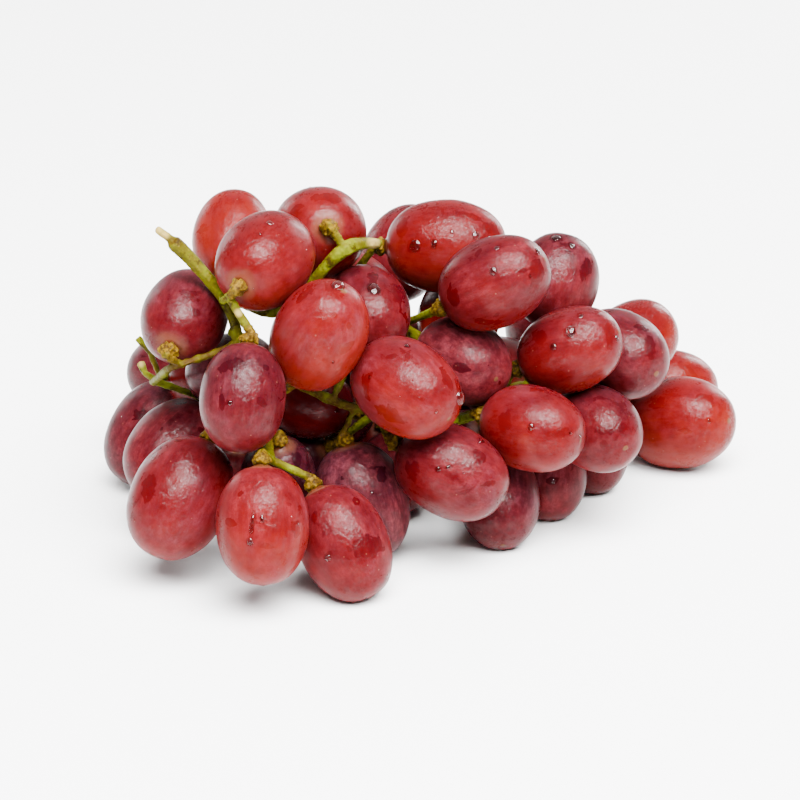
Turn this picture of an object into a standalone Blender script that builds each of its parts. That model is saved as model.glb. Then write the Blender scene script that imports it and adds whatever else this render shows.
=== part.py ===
"""A bunch of red table grapes lying on a surface: oval berries round one branched stem skeleton.

The side in view is laid out from the picture: each berry there has its centre, width and lean as read from
its outline, and a depth chosen by hand. The berries of the back and the inside are placed by hand in the
bunch itself. All of them are then pushed apart, off the surface and clear of the thick stems, and every
berry gets a pedicel that is led to the nearest branch. Metres, +Z up, seen along +Y.
"""

import math
import random
from typing import NamedTuple

import bmesh
import bpy
import numpy as np
from mathutils import Vector

MM = 0.001

# Berries
LENGTH_OVER_WIDTH = 1.3
HIDDEN_HALF_WIDTH = 9.4 * MM
HIDDEN_SPREAD = 0.4 * MM
BERRY_SIDES = 14
BERRY_RINGS = 8
DIMPLE_DEPTH = 0.5 * MM
BERRY_GAP = 0.25 * MM
FLAT_DEPTH = 0.6 * MM

# The way the picture looks at the bunch
SIGHT_ELEVATION = math.radians(21)
SIGHT_DISTANCE = 700 * MM
FOCAL_PIXELS = 3290
PICTURE_MIDDLE = 400
AIM_HEIGHT = 35 * MM

# Stems
STEM_GAP = 0.45 * MM
PEDICEL_RADIUS = 0.85 * MM
PEDICEL_LEAD = 2.6 * MM
KNOB_RADIUS = 1.9 * MM
KNOB_LENGTH = 2.2 * MM
KNOB_CLEARANCE = 0.35 * MM
ROUTE_STEP = 1.2 * MM
ROUTE_TOLERANCE = 0.18 * MM
ROUTE_STEPS = 60
ROUTE_TRIES = 14
SHARED_FROM = 5

# How the berries settle
FILLING_PLACES = (-1, -0.5, 0, 0.5, 1)
SETTLE_STEPS = 500
FREE_STEPS = 60
SIDEWAYS_GIVE = 0.35
VIEW_HOLD = 0.12
HIDDEN_HOLD = 0.01

SEED = 7


class Seen(NamedTuple):
    """A berry of the side in view. Pixels of the picture, degrees, and millimetres towards the viewer."""

    across: float
    down: float
    half_width: float
    stem_slope: float  # the way the stem end points in the picture, anticlockwise from the right
    stem_turn: float  # from the sight line: 0 is a stem end that faces the viewer, 180 one that faces away
    depth: float
    rests: bool = False
    length_over_width: float = LENGTH_OVER_WIDTH


class Hidden(NamedTuple):
    """A berry that others hide, in millimetres across, away from the viewer and up."""

    x: float
    y: float
    z: float
    rests: bool = False


class StemPoint(NamedTuple):
    """A point of a stem, in pixels of the picture, with its depth and radius in millimetres."""

    across: float
    down: float
    depth: float
    radius: float


SEEN_BERRIES = [
    Seen(233, 238, 40, 265, 60, -15),
    Seen(265.5, 260, 47, 231, 36, 8),
    Seen(318.5, 233, 47, 12, 10, -10),
    Seen(407, 261, 42, 240, 60, -42),
    Seen(446, 246, 46.5, 180, 96, -22, False, 1.31),
    Seen(495, 285, 45, 205, 112, -8),
    Seen(556, 281, 43, 258, 80, -27, False, 1.14),
    Seen(185, 316.5, 43, 250, 38, -2),
    Seen(319.5, 335.5, 47, 240, 124, 12),
    Seen(372, 310, 42, 115, 143, -7),
    Seen(405.5, 388, 47, 145, 120, 9),
    Seen(466, 362, 43, 150, 139, -16),
    Seen(570, 350, 42, 200, 112, -16),
    Seen(619, 354, 43, 150, 134, -31),
    Seen(633, 342, 40, 215, 60, -50, False, 1.22),
    Seen(675, 388, 38, 170, 55, -73, False, 1.2),
    Seen(679, 422, 46, 183, 130, -55, True),
    Seen(531, 426, 43, 165, 120, -3),
    Seen(596, 428, 42, 145, 143, -20),
    Seen(452, 470.5, 46, 152, 98, 1),
    Seen(502, 498, 41, 95, 120, -17, True),
    Seen(547, 472, 38, 95, 100, -32, True),
    Seen(590, 447, 36, 100, 70, -47, True),
    Seen(243, 398, 43, 84, 102, 15),
    Seen(156, 430, 45, 58, 100, -34),
    Seen(174, 449, 44, 52, 115, -14),
    Seen(180, 498, 50, 65, 106, 7),
    Seen(262.5, 525.5, 46.5, 91, 95, 20),
    Seen(344, 542, 45.5, 117, 95, 12, True, 1.35),
    Seen(361, 503, 47, 105, 80, -7, True),
    Seen(174, 373, 40, 0, 60, -50, False, 1.22),
    Seen(212, 378, 38, 20, 70, -34),
    Seen(238, 372, 38, 10, 60, -14),
    Seen(455, 315, 41, 250, 60, -38),
    Seen(303, 400, 36, 350, 110, -11),
    Seen(337, 412, 36, 60, 110, -28),
    Seen(293, 458, 36, 25, 60, -17),
    Seen(278, 480, 38, 88, 50, 2),
]

HIDDEN_BERRIES = [
    Hidden(-37, 24, 9, True),
    Hidden(-24, 42, 9, True),
    Hidden(-38, 54, 9, True),
    Hidden(8, 62, 9, True),
    Hidden(-1, 22, 9, True),
    Hidden(-6, 42, 9, True),
    Hidden(14, 32, 9, True),
    Hidden(26, 52, 9, True),
    Hidden(46, 62, 9, True),
    Hidden(-16, 42, 26),
    Hidden(3, 42, 26),
    Hidden(24, 42, 25),
    Hidden(38, 58, 26),
    Hidden(-10, 38, 45),
]

MAIN_STEM = [
    StemPoint(157, 229, 9, 0.7),
    StemPoint(169, 238, 8, 0.8),
    StemPoint(174, 243, 8, 1.6),
    StemPoint(186, 254, 7, 1.5),
    StemPoint(204, 274, 6, 1.45),
    StemPoint(222, 294, 5, 1.4),
    StemPoint(233, 317, 4, 1.2),
    StemPoint(240, 343, 2, 1.3),
    StemPoint(262, 360, 1, 1.3),
    StemPoint(290, 378, 0, 1.3),
    StemPoint(322, 396, -1, 1.3),
    StemPoint(355, 408, -2, 1.3),
    StemPoint(400, 416, -8, 1.2),
    StemPoint(455, 420, -15, 1.2),
    StemPoint(500, 402, -22, 1.1),
    StemPoint(520, 386, -28, 1.1),
    StemPoint(562, 392, -36, 1.0),
    StemPoint(592, 398, -43, 0.9),
    StemPoint(614, 396, -52, 0.8),
]

SHOULDER = [
    StemPoint(224, 297, 5, 1.2),
    StemPoint(248, 305, -3, 1.2),
    StemPoint(272, 313, -6, 1.2),
    StemPoint(297, 300, -5, 1.2),
    StemPoint(313, 281, -3, 1.2),
    StemPoint(330, 262, -1, 1.3),
    StemPoint(345, 249, 0, 1.8),
    StemPoint(358, 244, -3, 1.3),
    StemPoint(370, 243, -8, 1.1),
    StemPoint(379, 244, -13, 1.1),
]

FRONT_BRANCH = [
    StemPoint(272, 366, 0, 1.0),
    StemPoint(276, 390, 2, 1.0),
    StemPoint(273, 420, 4, 1.0),
    StemPoint(267, 443, 8, 1.0),
    StemPoint(271, 460, 12, 1.0),
]

LEFT_BRANCH = [
    StemPoint(240, 343, 2, 1.1),
    StemPoint(215, 352, 4, 1.0),
    StemPoint(192, 361, 6, 1.0),
    StemPoint(174, 367, 6, 1.0),
    StemPoint(165, 372, 0, 0.9),
    StemPoint(159, 378, -12, 0.8),
    StemPoint(153, 382, -25, 0.8),
]

BARE_PEDICELS = [
    [StemPoint(155, 380, -21, 0.7), StemPoint(145, 373, -24, 0.6), StemPoint(141, 363, -25, 1.0)],
    [StemPoint(160, 377, -11, 0.6), StemPoint(150, 352, -12, 0.6), StemPoint(138, 338, -12, 0.8)],
    [StemPoint(238, 338, 2, 0.9), StemPoint(231, 330, 1, 1.0)],
]

SEE_THROUGH = [(250, 325, 2.0), (415, 303, 1.2), (502, 332, 1.0)]


class Berry:
    """An oval berry: its centre, the way its stem end points, its half width and half length."""

    def __init__(self, name, centre, axis, half_width, half_length, rests, sight=None):
        self.name = name
        self.centre = centre
        self.axis = axis.normalized()
        self.half_width = half_width
        self.half_length = half_length
        self.rests = rests
        self.sight = sight

    def half_height(self):
        rise = self.axis.z
        return math.sqrt(self.half_width**2 + (self.half_length**2 - self.half_width**2) * rise**2)

    def stem_end(self):
        return self.centre + self.axis * self.half_length


def view_axes():
    """The picture's right, its up, and the way from the bunch to the viewer."""
    rise, run = math.sin(SIGHT_ELEVATION), math.cos(SIGHT_ELEVATION)
    return Vector((1, 0, 0)), Vector((0, rise, run)), Vector((0, -run, rise))


def pixel_size(depth):
    return (SIGHT_DISTANCE - depth) / FOCAL_PIXELS


def place_in_view(across, down, depth):
    """The point that the picture shows at a pixel, at a depth towards the viewer."""
    right, up, nearer = view_axes()
    size = pixel_size(depth)
    aim = Vector((0, 0, AIM_HEIGHT))
    return aim + right * (across - PICTURE_MIDDLE) * size + up * (PICTURE_MIDDLE - down) * size + nearer * depth


def seen_berry(name, seen):
    right, up, nearer = view_axes()
    centre = place_in_view(seen.across, seen.down, seen.depth * MM)
    slope, turn = math.radians(seen.stem_slope), math.radians(seen.stem_turn)
    in_picture = right * math.cos(slope) + up * math.sin(slope)
    axis = in_picture * math.sin(turn) + nearer * math.cos(turn)
    half_width = seen.half_width * pixel_size(seen.depth * MM)
    viewer = Vector((0, 0, AIM_HEIGHT)) + nearer * SIGHT_DISTANCE
    sight = (viewer - centre).normalized()
    return Berry(name, centre, axis, half_width, half_width * seen.length_over_width, seen.rests, sight)


def hidden_berry(name, hidden, axis_points, draw):
    """A berry whose stem end points at the nearest part of the main axis."""
    centre = Vector((hidden.x, hidden.y, hidden.z)) * MM
    nearest = min(axis_points, key=lambda point: (point - centre).length)
    wander = Vector((draw.uniform(-1, 1), draw.uniform(-1, 1), draw.uniform(-1, 1))) * 0.35
    axis = (nearest - centre).normalized() + wander
    half_width = HIDDEN_HALF_WIDTH + draw.uniform(-HIDDEN_SPREAD, HIDDEN_SPREAD)
    half_length = half_width * (LENGTH_OVER_WIDTH + draw.uniform(-0.05, 0.05))
    return Berry(name, centre, axis, half_width, half_length, hidden.rests)


def smooth_curve(points):
    """Points close together along a smooth curve through the given ones, each with its radius."""
    places = [np.array([*place_in_view(p.across, p.down, p.depth * MM), p.radius * MM]) for p in points]
    places = [2 * places[0] - places[1], *places, 2 * places[-1] - places[-2]]
    curve = []
    for before, start, end, after in zip(places, places[1:], places[2:], places[3:]):
        steps = max(1, round(np.linalg.norm(end[:3] - start[:3]) / ROUTE_STEP))
        for t in np.arange(steps) / steps:
            bend = 2 * before - 5 * start + 4 * end - after
            curl = 3 * start - before - 3 * end + after
            curve.append(start + 0.5 * ((end - before) * t + bend * t**2 + curl * t**3))
    curve.append(places[-2])
    return np.array(curve)


def filling_spheres(berries):
    """Spheres along each berry's axis that fill it out to its skin, as offsets and radii. The last is its knob."""
    offsets, radii = [], []
    for berry in berries:
        spare = berry.half_length**2 - berry.half_width**2
        reach = spare / berry.half_length
        along = np.array(FILLING_PLACES) * reach
        knob = berry.half_length + KNOB_CLEARANCE + KNOB_LENGTH / 2
        offsets.append(np.outer([*along, knob], berry.axis))
        radii.append([*(berry.half_width * np.sqrt(1 - along**2 / spare)), KNOB_RADIUS])
    return np.array(offsets), np.array(radii)


def push_apart(spheres, radii):
    """Half of the deepest overlap of each pair of berries, as a move for each berry."""
    count, filling = radii.shape
    flat, reach = spheres.reshape(-1, 3), radii.reshape(-1)
    away = flat[:, None] - flat[None]
    distance = np.linalg.norm(away, axis=2) + 1e-12
    overlap = reach[:, None] + reach[None] + BERRY_GAP - distance
    away /= distance[:, :, None]
    overlap = overlap.reshape(count, filling, count, filling).transpose(0, 2, 1, 3).reshape(count, count, -1)
    away = away.reshape(count, filling, count, filling, 3).transpose(0, 2, 1, 3, 4).reshape(count, count, -1, 3)
    deepest = overlap.argmax(axis=2)
    depth = np.take_along_axis(overlap, deepest[:, :, None], 2)[:, :, 0].clip(0)
    np.fill_diagonal(depth, 0)
    way = np.take_along_axis(away, deepest[:, :, None, None], 2)[:, :, 0]
    return 0.5 * (depth[:, :, None] * way).sum(axis=1), depth.max()


def push_off(spheres, radii, nearest, clearance):
    """A move for each berry that takes its spheres clear of the nearest points given for each of them."""
    away = spheres - nearest
    distance = np.linalg.norm(away, axis=2) + 1e-12
    overlap = (radii + clearance - distance).clip(0)
    deepest = overlap.argmax(axis=1)
    rows = np.arange(len(spheres))
    way = away[rows, deepest] / distance[rows, deepest][:, None]
    return overlap[rows, deepest][:, None] * way


def push_off_stem(spheres, radii, stem):
    reach = np.linalg.norm(spheres[:, :, None] - stem[None, None, :, :3], axis=3) - stem[:, 3]
    closest = reach.argmin(axis=2)
    return push_off(spheres, radii, stem[closest, :3], stem[closest, 3] + STEM_GAP)


def push_off_sight_line(spheres, radii, start, way, clearance):
    along = ((spheres - start) * way).sum(axis=2)
    return push_off(spheres, radii, start + along[:, :, None] * way, clearance)


def sight_lines():
    """The lines along which the picture shows the background through the bunch."""
    viewer = Vector((0, 0, AIM_HEIGHT)) + view_axes()[2] * SIGHT_DISTANCE
    lines = []
    for across, down, clearance in SEE_THROUGH:
        point = place_in_view(across, down, 0)
        lines.append((np.array(point), np.array((point - viewer).normalized()), clearance * MM))
    return lines


def settle(berries, stems):
    """Push the berries apart, off the stems and onto the surface. Those in view slide along the sight line."""
    centres = np.array([berry.centre for berry in berries])
    start = centres.copy()
    offsets, radii = filling_spheres(berries)
    seen = np.array([berry.sight is not None for berry in berries])[:, None]
    sights = np.array([berry.sight or Vector((0, 0, 1)) for berry in berries])
    heights = np.array([berry.half_height() for berry in berries])
    rests = np.array([berry.rests for berry in berries])
    lines = sight_lines()
    for step in range(SETTLE_STEPS):
        spheres = centres[:, None] + offsets
        move, _ = push_apart(spheres, radii)
        for stem in stems:
            move += push_off_stem(spheres[:, :-1], radii[:, :-1], stem)
        for point, way, clearance in lines:
            move += push_off_sight_line(spheres[:, :-1], radii[:, :-1], point, way, clearance)
        along = (move * sights).sum(axis=1, keepdims=True) * sights
        centres += np.where(seen, along + SIDEWAYS_GIVE * (move - along), move)
        if step < SETTLE_STEPS - FREE_STEPS:
            back = start - centres
            back_along = (back * sights).sum(axis=1, keepdims=True) * sights
            centres += np.where(seen, VIEW_HOLD * (back - back_along), HIDDEN_HOLD * back)
        lift = heights - centres[:, 2] - np.where(rests, FLAT_DEPTH, -STEM_GAP)
        lift = np.where(rests, lift, lift.clip(0))
        centres += lift[:, None] * sights / sights[:, 2:]
    for berry, centre in zip(berries, centres):
        berry.centre = Vector(centre)


class Skins:
    """The berries' skins as arrays, for the distance from points to them."""

    def __init__(self, berries):
        self.centres = np.array([berry.centre for berry in berries])
        self.axes = np.array([berry.axis for berry in berries])
        self.half_widths = np.array([berry.half_width for berry in berries])
        self.half_lengths = np.array([berry.half_length for berry in berries])

    def distances(self, points):
        """The distance from each point to each skin, negative inside, and the way out."""
        away = points[:, None] - self.centres[None]
        along = (away * self.axes).sum(axis=2)
        sideways = away - along[:, :, None] * self.axes
        width2, length2 = self.half_widths**2, self.half_lengths**2
        across2 = (sideways**2).sum(axis=2)
        level = np.sqrt(along**2 / length2 + across2 / width2)
        steepness = np.sqrt(along**2 / length2**2 + across2 / width2**2) + 1e-9
        out = along[:, :, None] * self.axes / length2[:, None] + sideways / width2[:, None]
        out /= np.linalg.norm(out, axis=2, keepdims=True) + 1e-12
        return level * (level - 1) / steepness, out


def relax_route(route, skins, clearance):
    """Smooth a route and bend it clear of every skin and of the surface. Its first two points and its end stay."""
    held = 2
    for _ in range(ROUTE_STEPS):
        middle = (route[held - 1 : -2] + route[held + 1 :]) / 2
        route[held:-1] += 0.4 * (middle - route[held:-1])
        distance, out = skins.distances(route[held:-1])
        short = (clearance - distance).clip(0)
        route[held:-1] += (short[:, :, None] * out).sum(axis=1)
        route[held:-1, 2] = route[held:-1, 2].clip(clearance, None)
    distance, _ = skins.distances(route[held:])
    return distance.min(), np.linalg.norm(np.diff(route, axis=0), axis=1).sum()


def find_route(berry, skins, branch_points):
    """The shortest clear way from a berry's stem end to a branch, as points."""
    start = np.array(berry.stem_end() + berry.axis * KNOB_CLEARANCE)
    lead = start + np.array(berry.axis) * PEDICEL_LEAD
    reach = np.linalg.norm(branch_points - lead, axis=1)
    order = np.argsort(reach)[::2][:ROUTE_TRIES]
    clearance = PEDICEL_RADIUS + STEM_GAP
    best = None
    for target in branch_points[order]:
        count = max(3, math.ceil(np.linalg.norm(target - lead) / ROUTE_STEP) + 2)
        route = np.vstack([start, np.linspace(lead, target, count)])
        clear, length = relax_route(route, skins, clearance)
        cost = length + 60 * max(0, clearance - 0.1 * MM - clear)
        if best is None or cost < best[0]:
            best = (cost, route)
    return best[1]


def thin_out(points, tolerance):
    """The fewest of the points that stay within the tolerance of them all."""
    start, end = points[0], points[-1]
    chord = end - start
    along = ((points - start) @ chord / (chord @ chord)).clip(0, 1)
    stray = np.linalg.norm(points - start - np.outer(along, chord), axis=1)
    farthest = int(stray.argmax())
    if stray[farthest] < tolerance:
        return [0, len(points) - 1]
    first = thin_out(points[: farthest + 1], tolerance)
    second = thin_out(points[farthest:], tolerance)
    return first + [farthest + place for place in second[1:]]


def knobbed_pedicel(route):
    """The route with a radius at each point: a knob against the berry, then the thin pedicel."""
    way = (route[1] - route[0]) / np.linalg.norm(route[1] - route[0])
    kept = route[1:][thin_out(route[1:], ROUTE_TOLERANCE)]
    profile = [(0.0, 0.85), (0.3 * KNOB_LENGTH, 1.0), (KNOB_LENGTH, PEDICEL_RADIUS / KNOB_RADIUS)]
    knob = [[*(route[0] + way * along), share * KNOB_RADIUS] for along, share in profile]
    return np.array(knob + [[*point, PEDICEL_RADIUS] for point in kept[1:]])


def grow_pedicels(berries, branches):
    """A pedicel for each berry, the one nearest a branch always next, so that later ones can join earlier ones."""
    skins = Skins(berries)
    branch_points = np.vstack([branch[:, :3] for branch in branches])
    waiting = list(berries)
    pedicels = []
    while waiting:
        ends = np.array([berry.stem_end() for berry in waiting])
        reach = np.linalg.norm(ends[:, None] - branch_points[None], axis=2).min(axis=1)
        route = find_route(waiting.pop(int(reach.argmin())), skins, branch_points)
        pedicels.append(knobbed_pedicel(route))
        branch_points = np.vstack([branch_points, route[SHARED_FROM:-1]])
    return pedicels


def new_collection(name):
    collection = bpy.data.collections.new(name)
    bpy.context.scene.collection.children.link(collection)
    return collection


def plain_material(name, colour, roughness):
    material = bpy.data.materials.new(name)
    material.use_nodes = True
    shader = material.node_tree.nodes["Principled BSDF"]
    shader.inputs["Base Color"].default_value = (*colour, 1)
    shader.inputs["Roughness"].default_value = roughness
    shader.inputs["Metallic"].default_value = 0
    material.diffuse_color = (*colour, 1)
    return material


def berry_object(berry, material, collection):
    """An oval along its own Z, with a dimple at its stem end, cut flat where it rests on the surface."""
    shape = bmesh.new()
    bmesh.ops.create_uvsphere(shape, u_segments=BERRY_SIDES, v_segments=BERRY_RINGS, radius=1)
    bmesh.ops.scale(shape, vec=(berry.half_width, berry.half_width, berry.half_length), verts=shape.verts)
    pole = max(shape.verts, key=lambda vertex: vertex.co.z)
    pole.co.z -= DIMPLE_DEPTH
    turn = berry.axis.to_track_quat("Z", "Y")
    if berry.rests:
        geometry = shape.verts[:] + shape.edges[:] + shape.faces[:]
        down = turn.inverted() @ Vector((0, 0, -1))
        surface = down * berry.centre.z
        bmesh.ops.bisect_plane(shape, geom=geometry, plane_co=surface, plane_no=down, clear_outer=True)
        bmesh.ops.holes_fill(shape, edges=[edge for edge in shape.edges if edge.is_boundary])
    mesh = bpy.data.meshes.new(berry.name)
    shape.to_mesh(mesh)
    shape.free()
    mesh.materials.append(material)
    mesh.shade_smooth()
    made = bpy.data.objects.new(berry.name, mesh)
    made.location = berry.centre
    made.rotation_mode = "QUATERNION"
    made.rotation_quaternion = turn
    collection.objects.link(made)
    return made


def tube(name, points, collection):
    """A closed mesh round the points, which hold a place and a radius each."""
    curve = bpy.data.curves.new(name, "CURVE")
    curve.dimensions = "3D"
    curve.bevel_depth = 1
    curve.bevel_resolution = 1
    curve.use_fill_caps = True
    spline = curve.splines.new("POLY")
    spline.points.add(len(points) - 1)
    for target, point in zip(spline.points, points):
        target.co = (*point[:3], 1)
        target.radius = point[3]
    drawn = bpy.data.objects.new(name, curve)
    collection.objects.link(drawn)
    evaluated = drawn.evaluated_get(bpy.context.evaluated_depsgraph_get())
    mesh = bpy.data.meshes.new_from_object(evaluated)
    bpy.data.objects.remove(drawn)
    shape = bmesh.new()
    shape.from_mesh(mesh)
    bmesh.ops.remove_doubles(shape, verts=shape.verts, dist=0.00001)
    shape.to_mesh(mesh)
    shape.free()
    made = bpy.data.objects.new(name, mesh)
    collection.objects.link(made)
    return made


def rachis_object(stems, material, collection):
    """All stems joined into one solid."""
    pieces = new_collection("stem pieces")
    for place, stem in enumerate(stems[1:]):
        tube(f"stem_{place}", stem, pieces)
    rachis = tube("rachis", stems[0], collection)
    union = rachis.modifiers.new("join", "BOOLEAN")
    union.operation = "UNION"
    union.solver = "EXACT"
    union.operand_type = "COLLECTION"
    union.collection = pieces
    evaluated = rachis.evaluated_get(bpy.context.evaluated_depsgraph_get())
    joined = bpy.data.meshes.new_from_object(evaluated)
    rachis.modifiers.remove(union)
    rachis.data = joined
    for piece in list(pieces.objects):
        bpy.data.objects.remove(piece)
    bpy.data.collections.remove(pieces)
    joined.materials.clear()
    joined.materials.append(material)
    joined.shade_smooth()
    return rachis


def stand_on_origin(objects):
    """Move everything so that the origin is under the middle of the bunch, on the surface."""
    bpy.context.view_layer.update()
    corners = np.array([made.matrix_world @ vertex.co for made in objects for vertex in made.data.vertices])
    low, high = corners.min(axis=0), corners.max(axis=0)
    shift = Vector((-(low[0] + high[0]) / 2, -(low[1] + high[1]) / 2, -low[2]))
    for made in objects:
        made.location += shift


def main():
    for left_over in list(bpy.data.objects):
        bpy.data.objects.remove(left_over)
    draw = random.Random(SEED)
    branches = [smooth_curve(points) for points in (MAIN_STEM, SHOULDER, FRONT_BRANCH, LEFT_BRANCH)]
    stubs = [smooth_curve(points) for points in BARE_PEDICELS]
    axis_points = [Vector(point[:3]) for point in branches[0]]
    berries = [seen_berry(f"berry_{number:02d}", seen) for number, seen in enumerate(SEEN_BERRIES, 1)]
    first = len(berries) + 1
    for number, hidden in enumerate(HIDDEN_BERRIES, first):
        berries.append(hidden_berry(f"berry_{number:02d}", hidden, axis_points, draw))
    settle(berries, branches + stubs)
    pedicels = grow_pedicels(berries, branches)

    bunch = new_collection("bunch of grapes")
    skin = plain_material("berry skin", (0.33, 0.03, 0.035), 0.35)
    green = plain_material("stem", (0.35, 0.38, 0.07), 0.6)
    objects = [berry_object(berry, skin, bunch) for berry in berries]
    stems = [stem[thin_out(stem, ROUTE_TOLERANCE)] for stem in branches + stubs]
    objects.append(rachis_object(stems + pedicels, green, bunch))
    stand_on_origin(objects)


main()
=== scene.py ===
"""The looks of a bunch of grapes: bloomed skins, stem bark, water drops, light and camera.

Every berry is read back from its solid as an oval, and gets a fine skin in its place. Marks, drops
and stem spots are given by their pixels in the picture, and stand where the sight line through the
pixel meets a skin or a stem.
"""

import math
import random
from typing import NamedTuple

import bpy
import numpy as np
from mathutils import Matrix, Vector, noise


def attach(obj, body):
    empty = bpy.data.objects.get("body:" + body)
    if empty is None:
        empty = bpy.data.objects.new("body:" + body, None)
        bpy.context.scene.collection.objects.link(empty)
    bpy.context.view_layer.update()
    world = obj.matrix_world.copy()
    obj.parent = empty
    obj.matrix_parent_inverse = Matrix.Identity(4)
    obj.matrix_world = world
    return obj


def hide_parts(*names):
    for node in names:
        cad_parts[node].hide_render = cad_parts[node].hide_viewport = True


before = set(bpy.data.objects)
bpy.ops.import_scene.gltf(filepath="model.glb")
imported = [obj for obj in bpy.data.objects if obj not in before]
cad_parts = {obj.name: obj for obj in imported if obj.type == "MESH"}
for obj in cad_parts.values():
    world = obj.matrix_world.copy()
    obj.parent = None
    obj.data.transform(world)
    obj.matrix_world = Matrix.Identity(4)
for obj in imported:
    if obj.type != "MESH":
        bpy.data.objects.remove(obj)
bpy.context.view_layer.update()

MM = 0.001
SEED = 11

# Camera
SIGHT_ELEVATION = math.radians(21)
SIGHT_DISTANCE = 700 * MM
FOCAL_PIXELS = 3290
PICTURE_SIZE = 800
SENSOR_WIDTH = 36
CLIP_START = 10 * MM
AIM = Vector((-4.9, -20.27, 35)) * MM

# Reading a berry back: points below this height, in millimetres, may belong to its flat spot. A
# point is left out of the next fit when it lies off the oval by more than the slack and by more than
# this share of the worst one.
FLAT_SPOT_TOP = 0.5
FIT_ROUNDS = 4
FIT_SLACK = 0.004
FIT_SHARE = 0.5

# Berry skins
SKIN_SIDES = 72
SKIN_RINGS = 48
FULLNESS = 2.12
TAPER = 0.015
LUMP_DEPTH = 0.16 * MM
LUMP_SPAN = 7 * MM
LUMP_SHIFT = 50
HOLLOW_RADIUS = 2.9 * MM
HOLLOW_DEPTH = 0.45 * MM
SEAT_RADIUS = 1.9 * MM
SEAT_RISE = 0.75 * MM
SCAR_RADIUS = 0.8 * MM
DENT_RADIUS = 3 * SCAR_RADIUS
DENT_DEPTH = 0.28 * MM
LOWEST_SKIN = 0.02 * MM
TONE_SPREAD = 0.06
# Painted light: ripeness rises towards the top of each berry as it lies and falls underneath, so the
# tops are painted darker and the undersides a lighter orange red, a painted glow of floor light through
# the flesh
PAINTED_UNDERSIDE_GLOW = 0.22
PATTERN_SHIFT = 40
HIDDEN_RIPE = (0.1, 0.7)
HIDDEN_BLOOM = (0.3, 0.6)

# Wiped marks: each is flattened by how far its skin turns from the camera, but never below the least
# facing. A point of the skin that lies deeper than the mark's depth is moved out of the mark.
LEAST_FACING = 0.2
MARK_DEPTH = 4 * MM
MOVED_OUT = 3
WET_MARGIN = 1.3

# Stem shapes: the lifts, the swell and the shrinkage of the bark are in millimetres
STEM_VOXEL = 0.24 * MM
SOFTENING = 0.5
SOFTENING_ROUNDS = 3
KNOB_CORE = 1.5 * MM
KNOB_REACH = 3.2 * MM
TIP_REACH = 1.2 * MM
TIP_EASE = 0.6
SLOW_SPAN = 3.5 * MM
SLOW_LIFT = 0.16
QUICK_SPAN = 0.75 * MM
QUICK_LIFT = 0.09
WART_LIFT = 0.95
SWELL = 0.12
SHRINKAGE = 0.42
CREVICE_BROWN = 0.8
CREVICE_NARROWNESS = 4

# Stem spots: how far past the first bark a spot reaches along the sight line, how steeply it fades,
# and a distance in metres that no stem reaches
SPOT_DEPTH = 8 * MM
SPOT_FADE = 1.5
FAR_AWAY = 9

# Drops: the balls by their sides and rings, the small half widths in millimetres, and a distance that
# is outside every berry
LARGE_BALL = (20, 11)
SMALL_BALL = (10, 6)
DROP_SINK = 0.3
LEAST_SLOPE = 0.05
SMALL_DROPS = 7
SMALL_HALF_WIDTHS = (0.12, 0.3)
SMALL_HEIGHT = 0.6
SMALL_SLIDE = 1.1
LOWEST_DROP = 1 * MM
OUTSIDE = 100 * MM

# Light and floor
LIGHT_AIM = Vector((0, 0, 0.03))
SKY_FROM, SKY_TO = -0.2, 0.7
SKY_DIM, SKY_BRIGHT = 0.25, 1.3
FLOOR_SIZE = 6
FLOOR_DROP = 0.3 * MM
WHITE = (1, 1, 1)
FLOOR_WHITE = (0.78, 0.78, 0.78)


class Panel(NamedTuple):
    """An oval light that faces the bunch, in metres and watts."""

    name: str
    place: tuple
    size: tuple
    power: float


PANELS = [
    Panel("softbox", (0.3, -0.9, 1.75), (2.5, 1.9), 460),
    Panel("softbox core", (0.3, -0.9, 1.74), (1.2, 0.9), 110),
    Panel("back right", (0.5, 0.85, 0.30), (0.22, 0.5), 9),
    Panel("back left", (-0.6, 0.75, 0.25), (0.2, 0.4), 2.5),
]


class Look(NamedTuple):
    """How a berry is coloured: 0 to 1 from orange red to purple, and from bare skin to thick bloom."""

    ripe: float
    bloom: float


LOOKS = {
    1: Look(0.0, 0.2), 2: Look(0.22, 0.45), 3: Look(0.15, 0.4), 4: Look(0.35, 0.3), 5: Look(0.25, 0.35),
    6: Look(0.45, 0.45), 7: Look(0.55, 0.45), 8: Look(0.46, 0.42), 9: Look(0.2, 0.42),
    10: Look(0.45, 0.5), 11: Look(0.24, 0.38), 12: Look(0.62, 1.0), 13: Look(0.27, 0.25),
    14: Look(0.55, 0.4), 15: Look(0.1, 0.1), 16: Look(0.08, 0.25), 17: Look(0.06, 0.3),
    18: Look(0.33, 0.35), 19: Look(0.5, 0.45), 20: Look(0.5, 0.4), 21: Look(0.65, 0.4),
    22: Look(0.52, 0.6), 23: Look(0.55, 0.2), 24: Look(0.64, 0.5), 25: Look(0.68, 0.5),
    26: Look(0.6, 0.6), 27: Look(0.3, 0.45), 28: Look(0.24, 0.45), 29: Look(0.45, 0.45),
    30: Look(0.85, 0.85), 31: Look(0.72, 0.4), 32: Look(0.45, 0.05), 33: Look(0.6, 0.45),
    34: Look(0.0, 0.1), 35: Look(0.45, 0.1), 36: Look(0.95, 0.2), 37: Look(0.98, 0.2),
    38: Look(0.98, 0.35),
}


class Mark(NamedTuple):
    """A place where the bloom is wiped off, in pixels of the picture.

    It leans by so many degrees anticlockwise.
    """

    across: float
    down: float
    half_width: float
    half_height: float
    lean: float = 0


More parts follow.
